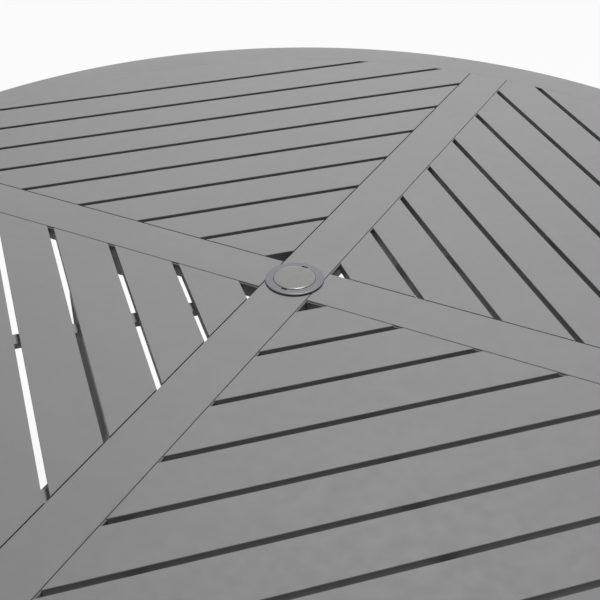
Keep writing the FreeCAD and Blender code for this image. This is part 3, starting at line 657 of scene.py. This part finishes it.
def leg_line():
    """The leg's centre line in the upright plane through the axis, and its outward normal at each
    point: the shoulder, a quarter turn, the upright, and a turn out to the splay."""
    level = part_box("rail_through")[0].z - LEG_DEPTH / 2
    turn = math.pi / 2 - SPLAY
    tangent = KNEE_BEND * math.tan(turn / 2)
    upper = np.linspace(math.pi / 2, 0, BEND_STEPS)
    lower = np.linspace(math.pi, math.pi + turn, BEND_STEPS)
    arc_one = np.stack([np.cos(upper), np.sin(upper)], axis=-1)
    arc_two = np.stack([np.cos(lower), np.sin(lower)], axis=-1)
    centre_one = np.array([LEG_RADIUS - SHOULDER_BEND, level - SHOULDER_BEND])
    centre_two = np.array([LEG_RADIUS + KNEE_BEND, KNEE_HEIGHT + tangent])
    start = np.array([[LEG_RADIUS - LEG_SHOULDER, level]])
    points = [start, centre_one + SHOULDER_BEND * arc_one, centre_two + KNEE_BEND * arc_two]
    normals = [np.array([[0.0, 1.0]]), arc_one, -arc_two]
    return np.concatenate(points), np.concatenate(normals)


def leg_skin(inset):
    """The leg's rounded section carried along its line: point = centre + depth times normal, with
    the width across. The last row runs on down the splay until it is level with the end."""
    half_width = LEG_WIDTH / 2 - inset
    half_depth = LEG_DEPTH / 2 - inset
    corners = [(-half_width, -half_depth), (half_width, -half_depth)]
    corners += [(half_width, half_depth), (-half_width, half_depth)]
    section = rounded(corners, max(LEG_CORNER - inset, LEAST_CORNER))
    line, normal = leg_line()
    out = line[:, 0, None] + normal[:, 0, None] * section[:, 1]
    up = line[:, 1, None] + normal[:, 1, None] * section[:, 1]
    across = section[:, 0] + 0 * out
    run = (up[-1] - LEG_END) / math.tan(SPLAY)
    out = np.concatenate([out, (out[-1] + run)[None]])
    up = np.concatenate([up, np.full_like(up[:1], LEG_END)])
    across = np.concatenate([across, across[-1:]])
    return np.stack([out, across, up], axis=-1)


leg_points = np.concatenate([leg_skin(0), leg_skin(LEG_WALL)[::-1]])
for corner, degrees in CORNERS.items():
    placed = turned_copies(leg_points, math.radians(degrees))
    node = "leg_" + corner
    make_piece("leg_tube_" + corner, [(placed, True)], leg_coat, stands_for=[node])

# The plugs and end caps that close the legs' tubes: moulded black nylon, pressed in, with the
# flange's edge rounded to follow the tube.

PLUG_FLANGE = 4 * MM
PLUG_DEPTH = 25 * MM
PLUG_FIT = 0.3 * MM
PLUG_TAPER = 0.9
STUD_HOLE = 4.05 * MM
STUD_HOLE_DEPTH = 18 * MM
END_PLATE = 2.5 * MM
END_DEPTH = 10 * MM
FOOT_RADIUS = LEG_RADIUS + (KNEE_HEIGHT - LEG_END) / math.tan(SPLAY)


def rounded_block(width, depth, corner):
    """The outline of a plug's section, across and along the radius."""
    corners = [(-depth / 2, -width / 2), (depth / 2, -width / 2)]
    corners += [(depth / 2, width / 2), (-depth / 2, width / 2)]
    return rounded(corners, corner)


def stacked(outlines, shifts, heights):
    """Outlines laid one above another, each shifted along the radius."""
    rows = [
        np.column_stack([outline[:, 0] + shift, outline[:, 1], np.full(len(outline), height)])
        for outline, shift, height in zip(outlines, shifts, heights)
    ]
    return np.stack(rows)


def plug_points():
    """The plug from the end of its hole, down the hole, out under the flange, up its rounded edge
    and in to the core, which leans with the leg and tapers at its end."""
    flange = [
        rounded_block(LEG_WIDTH - 2 * cut, LEG_DEPTH / math.sin(SPLAY) - 2 * cut, LEG_CORNER - cut)
        for cut in np.array([1.2, 0.4, 0, 0]) * MM
    ]
    inset = LEG_WALL + PLUG_FIT
    core_depth = (LEG_DEPTH - 2 * inset) / math.sin(SPLAY)
    core = rounded_block(LEG_WIDTH - 2 * inset, core_depth, LEG_CORNER - inset)
    top = rounded_block(LEG_WIDTH - 4 * inset, core_depth - 2 * inset, LEG_CORNER - inset)
    angle = np.arctan2(core[:, 1], core[:, 0])
    hole = STUD_HOLE * np.column_stack([np.cos(angle), np.sin(angle)])
    low = LEG_END - PLUG_FLANGE
    lean = -PLUG_DEPTH * math.cos(SPLAY)
    rise = LEG_END + PLUG_DEPTH * math.sin(SPLAY)
    outlines = [hole, hole, *flange, core, core, top]
    shifts = [0] * 7 + [lean * PLUG_TAPER, lean]
    edge = np.array([0, 0.4, 1.2]) * MM
    heights = [low + STUD_HOLE_DEPTH, low, *(low + edge), LEG_END, LEG_END]
    heights += [LEG_END + (rise - LEG_END) * PLUG_TAPER, rise]
    placed = stacked(outlines, shifts, heights)
    placed[..., 0] += FOOT_RADIUS
    return placed


def end_cap_points():
    """The end cap from the middle of its face, out over a rounded edge, and in along its core."""
    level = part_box("rail_through")[0].z - LEG_DEPTH / 2
    start = LEG_RADIUS - LEG_SHOULDER
    inset = LEG_WALL + PLUG_FIT
    cuts = [2 * MM, 0.6 * MM, 0, 0, inset, inset, 2 * inset]
    edge = np.array([END_PLATE, END_PLATE - 0.4 * MM, END_PLATE - 1.4 * MM, 0, 0])
    reach = np.concatenate([-edge, [END_DEPTH * 0.8, END_DEPTH]])
    outlines = [
        rounded_block(LEG_WIDTH - 2 * cut, LEG_DEPTH - 2 * cut, max(LEG_CORNER - cut, LEAST_CORNER))
        for cut in cuts
    ]
    rows = [
        np.column_stack([np.full(len(o), start + r), o[:, 1], level + o[:, 0]])
        for o, r in zip(outlines, reach)
    ]
    return np.stack(rows)


corner_angles = np.radians(list(CORNERS.values()))
plugs = (turned_copies(plug_points(), corner_angles), False)
make_piece("foot_plugs", [plugs], black_nylon, stands_for=["leg_plugs"])
end_caps = (turned_copies(end_cap_points(), corner_angles), False)
make_piece("shoulder_caps", [end_caps], black_nylon, stands_for=["leg_end_caps"])

# The glides: a black nylon foot with a fluted edge for the fingers, moulded on a zinc-plated steel
# stud that screws into the plug.

ZINC_PALE = "adaeac"
ZINC_DEEP = "a2a3a2"
GLIDE_SOLE = [(0.5, 0), (11, 0), (14.2, 0.6), (15.7, 2.2)]
GLIDE_SHOULDER = [(15.7, 6), (14.9, 7.4), (9, 9.2), (7, 10), (4, 10)]
GLIDE_FLUTES = 12
GLIDE_FLUTE_DEPTH = 0.7 * MM
GLIDE_SEGMENTS = 144
STUD_RADIUS = 4 * MM
STUD_PITCH = 1.25 * MM
STUD_THREAD = 0.7 * MM
STUD_TIP = 0.35
STUD_ROWS = 97
STUD_SEGMENTS = 32


def zinc_plate(name, pale, deep):
    """Bright zinc on steel: a clean pale metal, mottled over a few millimetres."""
    material, place, output = new_finish(name)
    tree = material.node_tree
    mottle = grain(tree, place, 4)
    inputs = {
        "Base Color": blend_colours(tree, mottle, deep, pale),
        "Metallic": 1.0,
        "Roughness": between(tree, mottle, 0.28, 0.4),
    }
    return surface(material, output, inputs)


def glide_points(high):
    """The foot from the middle of its sole, out and up its fluted edge and in over its shoulder.
    The edge's radius falls by the flute's depth with the cosine of twelve times the angle. The
    flutes fade in over the outer quarter of the radius."""
    profile = np.array(GLIDE_SOLE + GLIDE_SHOULDER) * MM
    profile[:, 1] *= high / profile[-1, 1]
    angles = np.linspace(0, TURN, GLIDE_SEGMENTS, endpoint=False)
    fluted = np.clip(profile[:, 0, None] / profile[:, 0].max() * 4 - 3, 0, 1)
    flute = 0.5 - 0.5 * np.cos(GLIDE_FLUTES * angles)
    radius = profile[:, 0, None] - fluted * GLIDE_FLUTE_DEPTH * flute
    height = profile[:, 1, None] + 0 * angles
    return np.stack([radius * np.cos(angles), radius * np.sin(angles), height], axis=-1)


def stud_points(low, high, radius, pitch, depth):
    """A threaded rod between two heights: its radius is cut by the thread's wave and narrows at
    its end."""
    height = np.linspace(low, high, STUD_ROWS)[:, None]
    angles = np.linspace(0, TURN, STUD_SEGMENTS, endpoint=False)[None, :]
    point = np.clip((high - height) / pitch, STUD_TIP, 1)
    wave = thread_wave(height - low, angles, pitch)
    grown = np.minimum(radius - depth * wave, radius * point)
    level = height + 0 * angles
    return np.stack([grown * np.cos(angles), grown * np.sin(angles), level], axis=-1)


zinc = zinc_plate("zinc_plated_steel", ZINC_PALE, ZINC_DEEP)
for corner in CORNERS:
    node = "glide_" + corner
    low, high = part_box(node)
    middle = np.array([(low.x + high.x) / 2, (low.y + high.y) / 2, low.z])
    shoulder = LEG_END - PLUG_FLANGE
    foot = glide_points(shoulder) + middle
    stud = stud_points(shoulder - 1 * MM, high.z, STUD_RADIUS, STUD_PITCH, STUD_THREAD) + middle
    make_piece(
        "glide_foot_" + corner,
        [(foot, False)],
        black_nylon,
        body=node,
        stands_for=[node],
        sharp=50,
    )
    make_piece("glide_stud_" + corner, [(stud, False)], zinc, body=node)

# The bolts that hold each leg under its rail, their nut plates inside the rail, and the smaller
# screws that hold the hub plate: zinc-plated steel with six-sided heads on a pressed washer.

BOLT_PLACES = [210 * MM, 242 * MM]
SCREW_PLACE = 130 * MM
LEG_BOLT = {"flats": 13 * MM, "head": 5.4 * MM, "washer": 8.8 * MM, "shank": 4 * MM}
HUB_SCREW = {"flats": 8 * MM, "head": 3 * MM, "washer": 5.2 * MM, "shank": 2.5 * MM}
HEAD_SEGMENTS = 72


def bolt_points(distance, face, tip, flats, head, washer, shank):
    """A bolt that points up, from the middle of its head: over the domed and chamfered head, out
    to the washer's rim, in at the face it clamps, and up the shank to its tip."""
    angles = np.linspace(0, TURN, HEAD_SEGMENTS, endpoint=False)[None, :]
    rim = washer - flats / 2
    top = face - head
    seat = face - 1.2 * MM
    six = hexagon(angles, flats)
    rows = [
        (0.3 * MM, top + 0.4 * MM),
        (flats * 0.42, top + 0.2 * MM),
        (flats * 0.47, top + 0.05 * MM),
        (np.minimum(six, flats * 0.5 + 0.2 * MM), top + 0.4 * MM),
        (np.minimum(six, flats * 0.5 + 1.0 * MM), top + 0.9 * MM),
        (six, top + 1.6 * MM),
        (six, seat - 0.3 * MM),
        (np.maximum(six, flats / 2 + rim * 0.5), seat),
        (washer, face - 0.7 * MM),
        (washer, face - 0.1 * MM),
        (washer - 0.2 * MM, face),
        (shank, face),
        (shank, tip - 1 * MM),
        (shank * 0.75, tip),
    ]
    radius = np.concatenate([reach + 0 * angles for reach, _ in rows])
    height = np.array([level for _, level in rows])[:, None] + 0 * angles
    x = distance + radius * np.cos(angles)
    return np.stack([x, radius * np.sin(angles), height], axis=-1)


dress(["nut_plates"], zinc)
shoulder_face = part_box("rail_through")[0].z - LEG_DEPTH
bolt_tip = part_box("leg_bolts")[1].z
bolts = [bolt_points(place, shoulder_face, bolt_tip, **LEG_BOLT) for place in BOLT_PLACES]
bolt_shapes = [(turned_copies(points, corner_angles), False) for points in bolts]
make_piece("leg_bolts_zinc", bolt_shapes, zinc, stands_for=["leg_bolts"], sharp=25)
hub_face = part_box("hub_plate")[0].z
screw_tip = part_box("hub_screws")[1].z
screw = bolt_points(SCREW_PLACE, hub_face, screw_tip, **HUB_SCREW)
screws = (turned_copies(screw, corner_angles), False)
make_piece("hub_screws_zinc", [screws], zinc, stands_for=["hub_screws"], sharp=25)

# The studio: a white floor that fades into a white surround for the camera, a soft lamp overhead
# and an even sky, and the camera where the photograph was taken.

FLOOR_HALF = 30
FLOOR_COLOUR = "c8c8c6"
FLOOR_SHADOW = 0.12
FLOOR_WHITE = 1.06
FLOOR_GLOW = 0.12
SKY_STRENGTH = 0.04
LAMP_SIZE = 0.8
LAMP_PLACE = (0.6, 0.9, 3.6)
LAMP_POWER = 80
LENS = 69.28
CAMERA_PLACE = (-0.3454, -1.1491, 1.525)
CAMERA_TURN = math.radians(17.035)
CAMERA_DIP = math.radians(34.291)
CAMERA_ROLL = math.radians(-0.626)


def seen_or_lit(tree, seen, lit):
    """A value that is seen to the camera and in reflections, and lit to the light on the table."""
    path = add_node(tree, "ShaderNodeLightPath", {}, {})
    kinds = ("Is Camera Ray", "Is Glossy Ray", "Is Transmission Ray")
    rays = [path.outputs[kind] for kind in kinds]
    direct = add_node(tree, "ShaderNodeMath", {"operation": "MAXIMUM"}, {0: rays[0], 1: rays[1]})
    inputs = {0: direct.outputs[0], 1: rays[2]}
    any_seen = add_node(tree, "ShaderNodeMath", {"operation": "MAXIMUM"}, inputs)
    inputs = {"Value": any_seen.outputs[0], "To Min": lit, "To Max": seen}
    return add_node(tree, "ShaderNodeMapRange", {}, inputs).outputs["Result"]


def floor_finish():
    """White studio floor: pale matt paint that glows a little, and shows white to the camera and
    in reflections, less a share that keeps the table's shadow."""
    material, _, output = new_finish("studio_floor")
    tree = material.node_tree
    matt = add_node(tree, "ShaderNodeBsdfDiffuse", {}, {"Color": linear(FLOOR_COLOUR)})
    glow = {"Color": linear("ffffff"), "Strength": FLOOR_WHITE}
    white = add_node(tree, "ShaderNodeEmission", {}, glow)
    share = seen_or_lit(tree, 1 - FLOOR_SHADOW, FLOOR_GLOW)
    inputs = {0: share, 1: matt.outputs[0], 2: white.outputs[0]}
    mixed = add_node(tree, "ShaderNodeMixShader", {}, inputs)
    tree.links.new(mixed.outputs[0], output.inputs["Surface"])
    return material


floor_mesh = bpy.data.meshes.new("floor")
floor_signs = [(-1, -1), (1, -1), (1, 1), (-1, 1)]
floor_corners = [(x * FLOOR_HALF, y * FLOOR_HALF, 0) for x, y in floor_signs]
floor_mesh.from_pydata(floor_corners, [], [(0, 1, 2, 3)])
floor_mesh.materials.append(floor_finish())
floor = bpy.data.objects.new("floor", floor_mesh)
bpy.context.scene.collection.objects.link(floor)

world = bpy.data.worlds.new("studio")
bpy.context.scene.world = world
world.use_nodes = True
world.node_tree.nodes.clear()
sky_strength = seen_or_lit(world.node_tree, 1.0, SKY_STRENGTH)
sky_inputs = {"Color": linear("ffffff"), "Strength": sky_strength}
sky = add_node(world.node_tree, "ShaderNodeBackground", {}, sky_inputs)
add_node(world.node_tree, "ShaderNodeOutputWorld", {}, {"Surface": sky.outputs["Background"]})

lamp_light = bpy.data.lights.new("overhead_lamp", "AREA")
lamp_light.shape = "DISK"
lamp_light.size = LAMP_SIZE
lamp_light.energy = LAMP_POWER
lamp = bpy.data.objects.new("overhead_lamp", lamp_light)
lamp.location = LAMP_PLACE
bpy.context.scene.collection.objects.link(lamp)

camera_data = bpy.data.cameras.new("camera")
camera_data.lens = LENS
camera = bpy.data.objects.new("camera", camera_data)
camera.matrix_world = (
    Matrix.Translation(CAMERA_PLACE)
    @ Matrix.Rotation(-CAMERA_TURN, 4, "Z")
    @ Matrix.Rotation(math.pi / 2 - CAMERA_DIP, 4, "X")
    @ Matrix.Rotation(CAMERA_ROLL, 4, "Z")
)
bpy.context.scene.collection.objects.link(camera)
bpy.context.scene.camera = camera
bpy.context.scene.view_settings.view_transform = "Standard"
